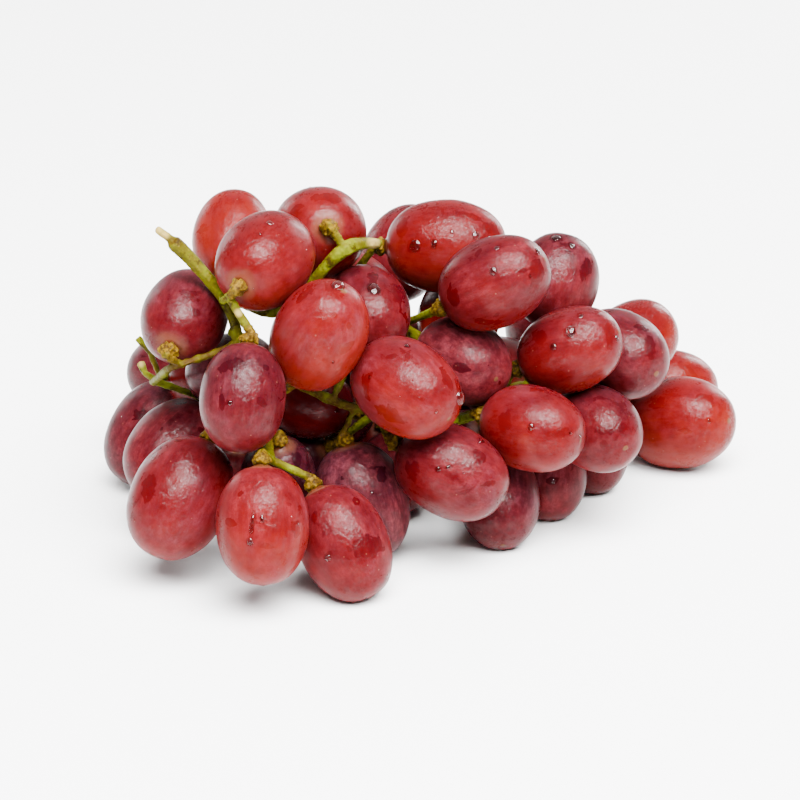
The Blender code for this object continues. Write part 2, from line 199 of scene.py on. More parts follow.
WIPED = [
    Mark(234, 365, 13, 8, 5), Mark(222, 402, 3, 8), Mark(262, 402, 6, 5), Mark(266, 368, 4, 3),
    Mark(460, 367, 9, 4.5, -5), Mark(480, 364, 1.8, 2.6), Mark(488, 365, 2, 2.2),
    Mark(484.5, 372, 1.6, 2.4), Mark(482.5, 377, 1.9, 2), Mark(481, 381, 1.1, 1.1),
    Mark(500, 383, 1.6, 2.4), Mark(481, 389, 1.5, 1.6), Mark(389, 415, 15, 8, -8),
    Mark(393, 356, 8, 4, 5), Mark(419, 398, 10, 3.6, -24), Mark(449, 384, 7, 12, 25),
    Mark(366, 385, 6, 14, 10), Mark(349, 326, 3.5, 4.8), Mark(334, 315, 2.5, 3.2),
    Mark(303, 296, 9, 4, 30), Mark(346, 348, 9, 5, 20), Mark(397, 294, 9, 12, -10),
    Mark(405, 315, 2.6, 3.6), Mark(373, 317, 1.8, 4.5), Mark(408, 328, 4, 9), Mark(373, 276, 5, 9),
    Mark(470, 216, 17, 4, -8), Mark(491, 230, 12, 9), Mark(403, 228, 7, 12),
    Mark(521, 271, 8, 3.4, 12), Mark(538, 272, 8, 22, -8), Mark(478, 253, 4, 6, -20),
    Mark(498, 315, 5, 2), Mark(487, 322, 14, 4), Mark(454, 298, 7, 12), Mark(586, 270, 7, 11, -20),
    Mark(610, 333, 7, 13), Mark(553, 347, 4, 3), Mark(540, 338, 7, 9, 20), Mark(560, 433, 15, 5, 4),
    Mark(541, 390, 11, 3, -12), Mark(505, 420, 7, 12), Mark(609, 429, 17, 5, 6),
    Mark(603, 444, 5, 4), Mark(480, 457, 10, 7, 30), Mark(438, 468, 3, 2.6),
    Mark(457, 463.5, 9, 1.5, 12), Mark(487, 484, 9, 3, 14), Mark(412, 470, 8, 14, 10),
    Mark(381, 476, 7, 11, 8), Mark(343, 478, 6, 4, 15), Mark(254, 516, 1.9, 6, -6),
    Mark(252, 532, 3, 6), Mark(266.5, 518, 2, 6, 5), Mark(261, 523.5, 5, 1.5, 12),
    Mark(230, 523, 9, 4.5, -20), Mark(296, 530, 7, 6, 25), Mark(266, 547, 7, 4),
    Mark(242, 493, 5, 3, 25), Mark(365, 547, 22, 11, 6), Mark(328, 556, 8, 4, 20),
    Mark(356, 501, 5, 5), Mark(315, 517, 4, 6), Mark(154, 456, 6, 4, 30), Mark(148, 486, 9, 14),
    Mark(179, 404, 9, 2.4, 12), Mark(162, 429, 2.5, 3.4), Mark(164, 435, 2, 2), Mark(200, 431, 6, 4),
    Mark(139, 415, 8, 7), Mark(553, 481, 6, 5), Mark(258, 235, 6, 4), Mark(229, 247, 5, 8),
    Mark(327, 198, 21, 6.5), Mark(297, 211, 8, 6, 30), Mark(352, 211, 8, 8, -40),
    Mark(684, 431, 9, 2.5, -10), Mark(660, 402, 12, 8, 20), Mark(706, 400, 9, 12),
    Mark(296, 460, 5, 8), Mark(640, 327, 8, 4), Mark(650, 350, 6, 12), Mark(690, 372, 9, 8),
]


class Drop(NamedTuple):
    """A water drop: its place in pixels and its half width in millimetres.

    Its height and its reach downhill are given over the half width.
    """

    across: float
    down: float
    half_width: float
    height: float = 0.5
    slide: float = 1.15


DROPS = [
    Drop(338, 285, 1.75, 0.6, 0.9), Drop(374, 289, 1.5, 0.5, 1.2), Drop(415, 246, 1.4, 0.5, 1.1),
    Drop(434, 244, 0.75, 0.5, 1.4), Drop(452, 232, 0.5), Drop(476, 236, 1.0, 0.4),
    Drop(493, 271, 0.88), Drop(538, 251, 0.75), Drop(497, 248, 0.62, 0.4), Drop(556, 238, 1.12, 0.4),
    Drop(572, 246, 0.75, 0.5), Drop(407, 346, 0.62), Drop(459, 398, 1.62, 1.1, 1.2),
    Drop(570.5, 331, 1.19, 0.6), Drop(553, 347, 0.75, 0.5), Drop(581, 316, 0.56),
    Drop(617, 338, 0.62), Drop(531, 427, 0.69), Drop(570, 433, 0.56), Drop(553, 481, 0.7, 0.5),
    Drop(250, 542, 0.75), Drop(252, 524, 0.5, 0.4, 4.0), Drop(262, 519, 0.4, 0.4, 2.5),
    Drop(426, 399, 0.5, 0.35, 2.2), Drop(530, 276, 0.6, 0.35, 1.8), Drop(328, 558, 0.69),
    Drop(436, 412, 0.44), Drop(270, 223, 0.75, 0.4), Drop(260, 235, 0.69, 0.5), Drop(252, 265, 0.62),
    Drop(438, 469, 0.56), Drop(482, 441, 0.62), Drop(448, 467, 0.44), Drop(709, 421, 0.62, 0.4),
    Drop(265, 368, 0.5), Drop(333, 362, 0.38), Drop(370, 377, 0.62, 0.5), Drop(230, 403, 0.44),
    Drop(232, 481, 0.5), Drop(372, 493, 0.38), Drop(455, 421, 0.56), Drop(336, 411, 0.62),
]


class Spot(NamedTuple):
    """A place on a stem, in pixels of the picture, with its radius in millimetres."""

    across: float
    down: float
    radius: float


PALE_SPOTS = [
    Spot(158, 230, 1.6), Spot(164, 235, 1.5), Spot(374, 243, 1.9), Spot(141, 364, 1.0),
    Spot(238, 313, 1.1),
]
# The small spots on the main stem are brown bark; the large ones on the left branch and on the stems
# inside the bunch are painted shade, and they also thin those stems
BROWN_AND_SHADED_SPOTS = [
    Spot(172, 241, 1.2), Spot(386, 246, 1.3), Spot(224, 299, 0.9), Spot(243, 293, 1.0),
    Spot(222, 346, 2.8), Spot(206, 354, 2.8), Spot(190, 362, 2.8), Spot(176, 370, 2.4),
    Spot(300, 388, 3), Spot(316, 394, 3.4), Spot(334, 402, 3.4), Spot(348, 410, 3.4),
    Spot(342, 424, 3.4), Spot(360, 420, 3.4),
]


class Tint(NamedTuple):
    """A colour in linear red, green and blue, and the share of what lies beneath that it covers."""

    colour: tuple
    share: float = 1.0


class Grain(NamedTuple):
    """A noise pattern: its waves to the metre, its octaves, how rough and how twisted it is.

    A stretch below 1 draws it out along the berry, and the shift sets it apart from other patterns.
    """

    scale: float
    detail: float
    roughness: float = 0.5
    distortion: float = 0.0
    stretch: float = 1.0
    shift: float = 0.0


# Skin colours, from orange red to purple
SKIN_COLOURS = [
    (0.0, (0.086, 0.0040, 0.0011)),
    (0.25, (0.051, 0.0009, 0.0010)),
    (0.5, (0.031, 0.0006, 0.0011)),
    (0.75, (0.016, 0.0005, 0.0014)),
    (1.0, (0.008, 0.0005, 0.0016)),
]
SPECK = Tint((0.13, 0.045, 0.03), 0.5)
PINK_FILM = (0.128, 0.0085, 0.0105)
PURPLE_FILM = (0.068, 0.0115, 0.0155)
LILAC_FILM = Tint((0.094, 0.0195, 0.028), 0.75)
STEM_HALO = Tint((0.095, 0.034, 0.016), 0.5)
STEM_RING = Tint((0.04, 0.011, 0.002), 0.85)
END_SCAR = Tint((0.06, 0.025, 0.01), 0.85)
GLOSS_TINT = (1.0, 0.15, 0.13)
FLESH_DEPTHS = (1.0, 0.22, 0.14)

# Skin patterns
SKIN_GRAINS = {
    "ripe": Grain(110, 3, 0.55),
    "streak": Grain(900, 2, 0.6, stretch=0.12),
    "patch": Grain(150, 4, 0.55, 0.9),
    "rag": Grain(300, 2, 0.5, 0.8),
    "cloud": Grain(300, 5, 0.65),
    "broad": Grain(95, 2, 0.5, stretch=0.5, shift=7),
    "scratch": Grain(1100, 3, 0.65, stretch=0.22),
    "fine": Grain(2300, 3, 0.7),
    "lilac": Grain(75, 3, 0.6, shift=19),
    "dimple": Grain(620, 3, 0.6, 0.6),
}
SPECKS_TO_METRE = 650.0
SPECK_EDGE = (0.15, 0.07)
RIPE_SWING = 0.6
STREAK_SWING = 0.28
RAG_SWING = 2.6
MARK_EDGE = (0.0, 0.16)
PATCH_EDGE = (0.625, 0.67)
PATCH_SHARE = 0.8
WIPED_SHARE = 0.93
LILAC_EDGE = (0.48, 0.66)
END_ZONE = (2 * MM, 4 * MM)
RIM_SWING = 2.2 * MM
HALO_RIM = (4.4 * MM, 2.0 * MM)
RING_RIM = (2.2 * MM, 1.7 * MM)
SCAR_RIM = (0.75 * MM, 0.45 * MM)

# How each pattern thins or thickens the bloom: low and high in the pattern, then in the bloom
BLOOM_STEPS = {
    "cloud": (0.32, 0.68, 0.3, 1.1),
    "broad": (0.34, 0.66, 0.45, 1.15),
    "scratch": (0.35, 0.65, 0.5, 1.25),
    "fine": (0.3, 0.7, 0.7, 1.2),
}

# Skin gloss, which goes from bare skin to bloom, and its relief by strength and depth
ROUGHNESS_STEP = (0.0, 0.3, 0.25, 0.42)
ROUGHNESS_SWING = 0.1
SHINE_STEP = (0.0, 0.6, 0.155, 0.09)
DIMPLE_MOTTLE = (0.35, 0.65, 0.5, 1.35)
FINE_MOTTLE = (0.35, 0.65, 0.55, 1.3)
CLOUD_RELIEF = 0.6
FINE_RELIEF = 0.12
DIMPLE_RELIEF = 2.0
SKIN_BUMP = (0.12, 0.05 * MM)
GLOSS_BUMP = (1.0, 0.14 * MM)

# Stem colours and patterns
STEM_GREENS = [
    (0.0, (0.036, 0.023, 0.0003)),
    (0.5, (0.056, 0.052, 0.0004)),
    (1.0, (0.090, 0.105, 0.0008)),
]
DARK_BARK = (0.014, 0.005, 0.0003)
TAN_BARK = (0.115, 0.062, 0.0015)
WARTS = Tint((0.12, 0.085, 0.006), 0.3)
STAIN = Tint((0.014, 0.006, 0.0005), 0.85)
CUT_WOOD = Tint((0.24, 0.17, 0.045))
# Dark brown for dried bark, for the painted shade on the shaded stems, and for the gaps between the
# warts
DRY_AND_SHADED_BARK = Tint((0.03, 0.012, 0.001))
STEM_DEPTHS = (0.8, 1.0, 0.3)
STEM_GRAINS = {
    "shade": Grain(170, 3, 0.6, shift=3),
    "fine": Grain(1300, 4, 0.65, shift=5),
    "stain": Grain(420, 5, 0.72, shift=9),
}
SHADE_STEP = (0.3, 0.7)
BARK_STEP = (0.35, 0.65)
KNOB_STEP = (0.1, 0.7)
STAIN_EDGE = (0.54, 0.62)
DRY_AND_SHADED_STEP = (0.3, 0.6, 0.5, 1.0)
STEM_ROUGHNESS = (0.3, 0.7, 0.45, 0.7)
WARTS_TO_METRE = 1100.0
WART_EDGE = (0.45, 0.15)
WART_RELIEF = 0.6
STEM_BUMP = (0.6, 0.15 * MM)

WATER_TINT = (0.8, 0.68, 0.68)
WATER_IOR = 1.33


class Oval:
    """A berry's oval, as its solid gives it, with the way its stem end points."""

    def __init__(self, number, centre, axis, half_width, half_length):
        self.number = number
        self.centre = centre
        self.axis = axis
        self.half_width = half_width
        self.half_length = half_length
        self.turn = axis.to_track_quat("Z", "Y").to_matrix()
        self.inward = self.turn.transposed()

    def meet(self, start, way):
        """How far along a ray its skin is first met, or None."""
        squash = Vector((1 / self.half_width, 1 / self.half_width, 1 / self.half_length))
        origin = (self.inward @ (start - self.centre)) * squash
        ray = (self.inward @ way) * squash
        a, b, c = ray.dot(ray), origin.dot(ray), origin.dot(origin) - 1
        root = b * b - a * c
        return None if root < 0 else (-b - math.sqrt(root)) / a

    def normal(self, point):
        """The way straight out of its skin at a point."""
        stretch = Vector((self.half_width**-2, self.half_width**-2, self.half_length**-2))
        return (self.turn @ ((self.inward @ (point - self.centre)) * stretch)).normalized()


def fitted(points):
    """The quadric through the points: its matrix, its linear part, and how far each point is off it."""
    x, y, z = points.T
    terms = np.stack([x * x, y * y, z * z, 2 * x * y, 2 * x * z, 2 * y * z, 2 * x, 2 * y, 2 * z], axis=1)
    solved = np.linalg.lstsq(terms, np.ones(len(points)), rcond=None)[0]
    matrix = np.array([
        [solved[0], solved[3], solved[4]],
        [solved[3], solved[1], solved[5]],
        [solved[4], solved[5], solved[2]],
    ])
    return matrix, solved[6:], terms @ solved - 1


def read_oval(number, node):
    """The oval that a berry's solid was made from.

    Points of the flat spot under a resting berry are left out. The one point that lies well below
    the skin is the dimple at the stem end, and shows where that end is.
    """
    every = np.array([vertex.co for vertex in node.data.vertices]) / MM
    middle = every.mean(axis=0)
    points = every[every[:, 2] > FLAT_SPOT_TOP] - middle
    _, _, off = fitted(points)
    for _ in range(FIT_ROUNDS):
        kept = np.abs(off) < max(FIT_SLACK, np.abs(off).max() * FIT_SHARE)
        matrix, linear, _ = fitted(points[kept])
        off = np.einsum("ij,jk,ik->i", points, matrix, points) + 2 * points @ linear - 1
    centre = -np.linalg.solve(matrix, linear)
    level = 1 + centre @ matrix @ centre
    values, vectors = np.linalg.eigh(matrix / level)
    sizes = 1 / np.sqrt(values)
    axis = vectors[:, 0]
    dimple = points[off.argmin()] - centre
    if dimple @ axis < 0:
        axis = -axis
    half_width = (sizes[1] + sizes[2]) / 2
    return Oval(number, Vector((centre + middle) * MM), Vector(axis), half_width * MM, sizes[0] * MM)


def view_axes():
    """The picture's right, its up, and the way from the bunch to the camera."""
    rise, run = math.sin(SIGHT_ELEVATION), math.cos(SIGHT_ELEVATION)
    return Vector((1, 0, 0)), Vector((0, rise, run)), Vector((0, -run, rise))


def sight_line(across, down):
    """The camera's place, and the way from it through a pixel of the picture."""
    right, up, nearer = view_axes()
    camera = AIM + nearer * SIGHT_DISTANCE
    middle = PICTURE_SIZE / 2
    way = right * (across - middle) + up * (middle - down) - nearer * FOCAL_PIXELS
    return camera, way.normalized()


def first_met(ovals, across, down):
    """The berry that a pixel of the picture shows, and the point of its skin there."""
    start, way = sight_line(across, down)
    best = None
    for oval in ovals:
        reach = oval.meet(start, way)
        if reach is not None and (best is None or reach < best[0]):
            best = (reach, oval)
    if best is None:
        return None, None
    return best[1], start + way * best[0]


def on_skins(ovals, seen):
    """Each mark or drop with the berry that its pixel shows, and the point of the skin there."""
    for one in seen:
        oval, point = first_met(ovals, one.across, one.down)
        if oval is not None:
            yield one, oval, point


def wiped_field(oval, places, marks):
    """For each point of a skin, 1 in the middle of a wiped mark, 0 on its rim and below 0 outside."""
    right, _, nearer = view_axes()
    pixel = SIGHT_DISTANCE / FOCAL_PIXELS
    field = np.full(len(places), -1.0)
    for mark, point in marks:
        outward = oval.normal(point)
        side = (right - outward * right.dot(outward)).normalized()
        rise = outward.cross(side)
        lean = math.radians(mark.lean)
        along = side * math.cos(lean) + rise * math.sin(lean)
        across = rise * math.cos(lean) - side * math.sin(lean)
        facing = min(1, abs(outward.dot(nearer)) + LEAST_FACING)
        away = places - np.array(point)
        spread = np.hypot(away @ np.array(along) / (mark.half_width * pixel),
                          away @ np.array(across) / (mark.half_height * pixel / facing))
        spread += MOVED_OUT * (away @ np.array(outward) < -MARK_DEPTH)
        field = np.maximum(field, 1 - spread)
    return field


def ball(sides, rings):
    """The points and faces of a unit ball, with a pole at each end of Z."""
    down = np.pi * np.arange(1, rings) / rings
    around = 2 * np.pi * np.arange(sides) / sides
    ring = np.stack([np.cos(around), np.sin(around)], axis=1)
    rows = [np.column_stack([ring * np.sin(angle), np.full(sides, np.cos(angle))]) for angle in down]
    points = np.vstack([*rows, [[0, 0, 1]], [[0, 0, -1]]])
    top, bottom = len(points) - 2, len(points) - 1
    faces = []
    for side in range(sides):
        following = (side + 1) % sides
        faces.append((top, side, following))
        faces.append((bottom, bottom - 1 - sides + following, bottom - 1 - sides + side))
        for row in range(rings - 2):
            first = row * sides
            lower = first + sides
            faces.append((first + side, lower + side, lower + following, first + following))
    return points, faces


def in_scene(name, data):
    """A new object of the scene that holds the data."""
    made = bpy.data.objects.new(name, data)
    bpy.context.scene.collection.objects.link(made)
    return made


def waves(places, span, shift=(0, 0, 0)):
    """Smooth noise at each place, with waves about as long as the span."""
    start = Vector(shift)
    return np.array([noise.noise(Vector(place) / span + start) for place in places])


def paint(mesh, values):
    """Give the points of a mesh the named values that its material reads."""
    for name, value in values.items():
        attribute = mesh.attributes.new(name, "FLOAT", "POINT")
        attribute.data.foreach_set("value", value.astype(np.float32))


def skin_places(oval, unit, draw):
    """The points of a berry's fine skin in the berry's own frame, +Z to its stem end."""
    across, height = np.hypot(unit[:, 0], unit[:, 1]), unit[:, 2]
    fuller = (across**FULLNESS + np.abs(height) ** FULLNESS) ** (-1 / FULLNESS)
    places = unit * fuller[:, None] * np.array([oval.half_width, oval.half_width, oval.half_length])
    places[:, :2] *= 1 + TAPER * height[:, None]
    shift = [draw.uniform(-LUMP_SHIFT, LUMP_SHIFT) for _ in range(3)]
    places += unit * (waves(places, LUMP_SPAN, shift) * LUMP_DEPTH)[:, None]
    radius = np.hypot(places[:, 0], places[:, 1])
    top = height > 0
    hollow = np.exp(-((radius / HOLLOW_RADIUS) ** 4)) * top
    seat = np.exp(-((radius / SEAT_RADIUS) ** 4)) * top
    places[:, 2] += SEAT_RISE * seat - HOLLOW_DEPTH * hollow
    scar = np.exp(-((radius / SCAR_RADIUS) ** 2)) * ~top
    dent = np.exp(-((radius / DENT_RADIUS) ** 2)) * ~top
    places[:, 2] += DENT_DEPTH * dent - DENT_DEPTH * scar
    return places


def skin_mesh(oval, look, marks, draw):
    """A berry's fine skin where the berry stands, with what its material reads.

    "spot" holds each point's place in the berry's own frame.
    """
    unit, faces = ball(SKIN_SIDES, SKIN_RINGS)
    places = skin_places(oval, unit, draw)
    turn = np.array(oval.turn)
    standing = places @ turn.T + np.array(oval.centre)
    standing[:, 2] = standing[:, 2].clip(LOWEST_SKIN)
    mesh = bpy.data.meshes.new(f"skin_{oval.number:02d}")
    mesh.from_pydata(standing.tolist(), [], faces)
    mesh.shade_smooth()
    spots = mesh.attributes.new("spot", "FLOAT_VECTOR", "POINT")
    spots.data.foreach_set("vector", places.astype(np.float32).ravel())
    normals = unit @ turn.T
    tone = draw.uniform(-TONE_SPREAD, TONE_SPREAD)
    pattern = draw.uniform(0, PATTERN_SHIFT)
    paint(mesh, {
        # ripe is the berry's own ripeness and random tone, plus a painted tilt: painted shade on top and
        # a painted lighter orange red glow underneath
        "ripe": look.ripe + tone + PAINTED_UNDERSIDE_GLOW * normals[:, 2],
        "bloom": np.full(len(places), look.bloom),
        "wiped": wiped_field(oval, standing, marks),
        "own": np.full(len(places), pattern),
    })
    return mesh


class Nodes:
    """A short way to write the nodes of a material or of the world."""

    def __init__(self, owner, shader="Principled BSDF"):
        self.owner = owner
        owner.use_nodes = True
        self.tree = owner.node_tree
        self.shader = self.tree.nodes[shader]

    def add(self, kind, inputs=(), output=0, **settings):
        made = self.tree.nodes.new(kind)
        for name, value in settings.items():
            setattr(made, name, value)
        for place, value in dict(inputs).items():
            self.put(made.inputs[place], value)
        return made.outputs[output]

    def put(self, socket, value):
        if isinstance(value, bpy.types.NodeSocket):
            self.tree.links.new(value, socket)
        elif socket.type == "RGBA":
            socket.default_value = (*value, 1)
        else:
            socket.default_value = value

    def set(self, **values):
        """Set the shader's own inputs."""
        for name, value in values.items():
            self.put(self.shader.inputs[name.replace("_", " ")], value)

    def maths(self, operation, a, b=0.0, c=0.0):
        return self.add("ShaderNodeMath", {0: a, 1: b, 2: c}, operation=operation)

    def times(self, a, b):
        return self.maths("MULTIPLY", a, b)

    def sway(self, field, swing, base):
        """The base, moved to and fro by a field that lies about one half."""
        return self.maths("MULTIPLY_ADD", self.maths("SUBTRACT", field, 0.5), swing, base)

    def step(self, value, low, high, to_low=0.0, to_high=1.0):
        """A soft step from one value to another as the field goes from low to high."""
        inputs = {0: value, 1: low, 2: high, 3: to_low, 4: to_high}
        return self.add("ShaderNodeMapRange", inputs, interpolation_type="SMOOTHSTEP")

    def mix(self, factor, a, b):
        """A colour between two others; the node's colour sockets come after its other ones."""
        made = self.tree.nodes.new("ShaderNodeMix")
        made.data_type = "RGBA"
        self.put(made.inputs[0], factor)
        self.put(made.inputs[6], a)
        self.put(made.inputs[7], b)
        return made.outputs[2]

    def tint(self, beneath, tint, where):
        """A colour that is covered with a tint where the field says so."""
        return self.mix(self.times(where, tint.share), beneath, tint.colour)

    def attribute(self, name):
        return self.add("ShaderNodeAttribute", attribute_name=name, output="Fac")

    def spot(self, stretch=1.0):
        """The place on a berry in the berry's own frame, with its height scaled by the stretch."""
        own = self.add("ShaderNodeAttribute", attribute_name="spot", output="Vector")
        return self.add("ShaderNodeMapping", {0: own, 3: (1, 1, stretch)})

    def noise(self, where, seed, grain):
        made = self.tree.nodes.new("ShaderNodeTexNoise")
        made.noise_dimensions = "4D"
        self.put(made.inputs["Vector"], where)
        self.put(made.inputs["W"], seed)
        for name in ("scale", "detail", "roughness", "distortion"):
            self.put(made.inputs[name.title()], getattr(grain, name))
        return made.outputs[0]

    def ramp(self, factor, stops):
        made = self.tree.nodes.new("ShaderNodeValToRGB")
        self.put(made.inputs[0], factor)
        elements = made.color_ramp.elements
        while len(elements) < len(stops):
            elements.new(0.5)
        for element, (position, colour) in zip(elements, stops):
            element.position = position
            element.color = (*colour, 1)
        return made.outputs[0]

    def bump(self, height, strength, distance):
        inputs = {"Strength": strength, "Distance": distance, "Height": height}
        return self.add("ShaderNodeBump", inputs)


def skin_fields(n):
    """The patterns on a skin, laid out in the berry's own frame and different on every berry."""
    seed = n.attribute("own")
    stretches = sorted({grain.stretch for grain in SKIN_GRAINS.values()})
    spots = {stretch: n.spot(stretch) for stretch in stretches}
    fields = {}
    for name, grain in SKIN_GRAINS.items():
        own = n.maths("ADD", seed, grain.shift) if grain.shift else seed
        fields[name] = n.noise(spots[grain.stretch], own, grain)
    inputs = {"Vector": spots[1.0], "W": seed, "Scale": SPECKS_TO_METRE}
    fields["speck"] = n.add("ShaderNodeTexVoronoi", inputs, voronoi_dimensions="4D")
    return fields


def bloom_cover(n, fields):
    """How thick the bloom lies: cloudy and scratched, and wiped off in patches and at the marks."""
    patches = n.times(n.step(fields["patch"], *PATCH_EDGE), PATCH_SHARE)
    marks = n.step(n.sway(fields["rag"], RAG_SWING, n.attribute("wiped")), *MARK_EDGE)
    wiped = n.maths("MAXIMUM", patches, marks)
    cover = n.attribute("bloom")
    for name, step in BLOOM_STEPS.items():
        cover = n.times(cover, n.step(fields[name], *step))
    return n.times(cover, n.maths("SUBTRACT", 1.0, n.times(wiped, WIPED_SHARE)))


def bloomed_colour(n, fields, cover):
    """The skin's colour under its bloom, from orange red to purple by how ripe each place is; ripe also
    carries the painted darker tops and the painted lighter undersides.
    """
    ripe = n.sway(fields["ripe"], RIPE_SWING, n.attribute("ripe"))
    ripe = n.sway(fields["streak"], STREAK_SWING, ripe)
    skin = n.tint(n.ramp(ripe, SKIN_COLOURS), SPECK, n.step(fields["speck"], *SPECK_EDGE))
    film = n.mix(ripe, PINK_FILM, PURPLE_FILM)
    film = n.tint(film, LILAC_FILM, n.step(fields["lilac"], *LILAC_EDGE))
    return n.mix(cover, skin, film)


def end_marks(n, fields, colour):
    """A colour with the halo and the brown ring of the stem end, and the scar of the blossom end."""
    height = n.add("ShaderNodeSeparateXYZ", {0: n.spot()}, output="Z")
    radius = n.add("ShaderNodeVectorMath", {0: n.spot(0)}, operation="LENGTH", output="Value")
    rim = n.sway(fields["rag"], RIM_SWING, radius)
    at_stem = n.step(height, *END_ZONE)
    at_blossom = n.step(height, *(-edge for edge in END_ZONE))
    colour = n.tint(colour, STEM_HALO, n.times(n.step(rim, *HALO_RIM), at_stem))
    colour = n.tint(colour, STEM_RING, n.times(n.step(rim, *RING_RIM), at_stem))
    return n.tint(colour, END_SCAR, n.times(n.step(rim, *SCAR_RIM), at_blossom))


def skin_material():
    n = Nodes(bpy.data.materials.new("grape skin"))
    fields = skin_fields(n)
    fine, dimple = fields["fine"], fields["dimple"]
    cover = bloom_cover(n, fields)
    rough = n.sway(fine, ROUGHNESS_SWING, n.step(cover, *ROUGHNESS_STEP))
    relief = n.maths("MULTIPLY_ADD", fields["cloud"], CLOUD_RELIEF, n.times(fine, FINE_RELIEF))
    gloss = n.maths("ADD", relief, n.times(dimple, DIMPLE_RELIEF))
    mottle = n.times(n.step(dimple, *DIMPLE_MOTTLE), n.step(fine, *FINE_MOTTLE))
    n.set(
        Base_Color=end_marks(n, fields, bloomed_colour(n, fields, cover)),
        Roughness=rough,
        Normal=n.bump(relief, *SKIN_BUMP),
        Subsurface_Weight=0.30,
        Subsurface_Scale=2.5 * MM,
        Subsurface_Radius=FLESH_DEPTHS,
        Specular_IOR_Level=0.03,
        Specular_Tint=GLOSS_TINT,
        Coat_Weight=n.times(n.step(cover, *SHINE_STEP), mottle),
        Coat_Roughness=0.22,
        Coat_Normal=n.bump(gloss, *GLOSS_BUMP),
    )
    return n.owner


def stem_material():
    n = Nodes(bpy.data.materials.new("stem bark"))
    where = n.add("ShaderNodeTexCoord", output="Object")
    fields = {name: n.noise(where, grain.shift, grain) for name, grain in STEM_GRAINS.items()}
    fine = fields["fine"]
    spots = n.add("ShaderNodeTexVoronoi", {"Vector": where, "Scale": WARTS_TO_METRE})
    warts = n.step(spots, *WART_EDGE)
    green = n.ramp(n.step(fields["shade"], *SHADE_STEP), STEM_GREENS)
    bark = n.mix(n.step(fine, *BARK_STEP), DARK_BARK, TAN_BARK)
    colour = n.mix(n.step(n.attribute("knob"), *KNOB_STEP), green, bark)
    colour = n.tint(colour, WARTS, warts)
    colour = n.tint(colour, STAIN, n.step(fields["stain"], *STAIN_EDGE))
    colour = n.tint(colour, CUT_WOOD, n.attribute("pale"))
    # Dark brown where the brown attribute says so: dried bark, painted shade on the shaded stems, and
    # the gaps between the warts
    colour = n.tint(colour, DRY_AND_SHADED_BARK, n.times(n.attribute("brown"), n.step(fine, *DRY_AND_SHADED_STEP)))
    n.set(
        Base_Color=colour,
        Roughness=n.step(fine, *STEM_ROUGHNESS),
        Normal=n.bump(n.maths("ADD", n.times(warts, WART_RELIEF), fine), *STEM_BUMP),
        Specular_IOR_Level=0.05,
        Subsurface_Weight=0.1,
        Subsurface_Scale=1 * MM,
        Subsurface_Radius=STEM_DEPTHS,
    )
    return n.owner


def water_material():
    n = Nodes(bpy.data.materials.new("water"))
    n.set(Base_Color=WATER_TINT, Roughness=0.02, IOR=WATER_IOR, Transmission_Weight=1.0)
    return n.owner


def floor_material():
    n = Nodes(bpy.data.materials.new("floor white"))
    n.set(Base_Color=FLOOR_WHITE, Roughness=0.7)
    return n.owner


def spotted(places, spots):
    """For each point of the stems, 1 in the inner third of a spot and 0 outside all of them."""
    field = np.zeros(len(places))
    for spot in spots:
        start, way = sight_line(spot.across, spot.down)
        radius = spot.radius * MM
        off = np.linalg.norm(np.cross(places - np.array(start), np.array(way)), axis=1)
        far = places @ np.array(way)
        near = far < far[off < radius].min(initial=FAR_AWAY) + SPOT_DEPTH
        field = np.maximum(field, (SPOT_FADE - SPOT_FADE * off / radius).clip(0, 1) * near)
    return field


def even_copy(node, name):
    """A copy of a solid with small even faces and softened edges."""
    made = node.copy()
    made.data = node.data.copy()
    made.name = name
    bpy.context.scene.collection.objects.link(made)
    remesh = made.modifiers.new("even", "REMESH")
    remesh.mode = "VOXEL"
    remesh.voxel_size = STEM_VOXEL
    smooth = made.modifiers.new("soften", "SMOOTH")
    smooth.factor = SOFTENING
    smooth.iterations = SOFTENING_ROUNDS
    evaluated = made.evaluated_get(bpy.context.evaluated_depsgraph_get())
    mesh = bpy.data.meshes.new_from_object(evaluated)
    made.modifiers.clear()
    made.data = mesh
    return made


def rows_of(mesh, name):
    """The places or the normals of a mesh's points, a row for each."""
    flat = np.zeros(len(mesh.vertices) * 3, np.float32)
    mesh.vertices.foreach_get(name, flat)
    return flat.reshape(-1, 3).astype(float)


def stem_object(node, ovals):
    """The stem skeleton with a fine skin: knobs swollen and warty, branches uneven."""
    made = even_copy(node, "stem_skeleton")
    mesh = made.data
    places, normals = rows_of(mesh, "co"), rows_of(mesh, "normal")
    ends = [np.array(oval.centre + oval.axis * oval.half_length) for oval in ovals]
    reach = np.min([np.linalg.norm(places - end, axis=1) for end in ends], axis=0)
    knob = (1 - (reach - KNOB_CORE) / KNOB_REACH).clip(0, 1)
    slow, quick = waves(places, SLOW_SPAN), waves(places, QUICK_SPAN)
    tip = (-reach / TIP_REACH).clip(-1, 0) + 1
    wart = np.abs(quick) * knob
    # Spots of brown bark, and of painted shade on the stems in the shadow of the bunch, where the stems
    # are also made thinner
    dried_and_shaded = spotted(places, BROWN_AND_SHADED_SPOTS)
    swell = SWELL - SHRINKAGE * dried_and_shaded
    lift = swell + SLOW_LIFT * slow + QUICK_LIFT * quick + WART_LIFT * wart * (1 - TIP_EASE * tip)
    places += normals * (lift * MM)[:, None]
    mesh.vertices.foreach_set("co", places.astype(np.float32).ravel())
    # Darker brown in the gaps between the warts of the knobs
    crevice = CREVICE_BROWN * knob * (1 - CREVICE_NARROWNESS * np.abs(quick)).clip(0, 1)
    paint(mesh, {
        "knob": knob,
        "pale": spotted(places, PALE_SPOTS),
        # brown holds the dried spots, the painted shade of the shaded stems and the gaps between the
        # warts
        "brown": np.maximum(dried_and_shaded, crevice),
    })
    mesh.shade_smooth()
    return made


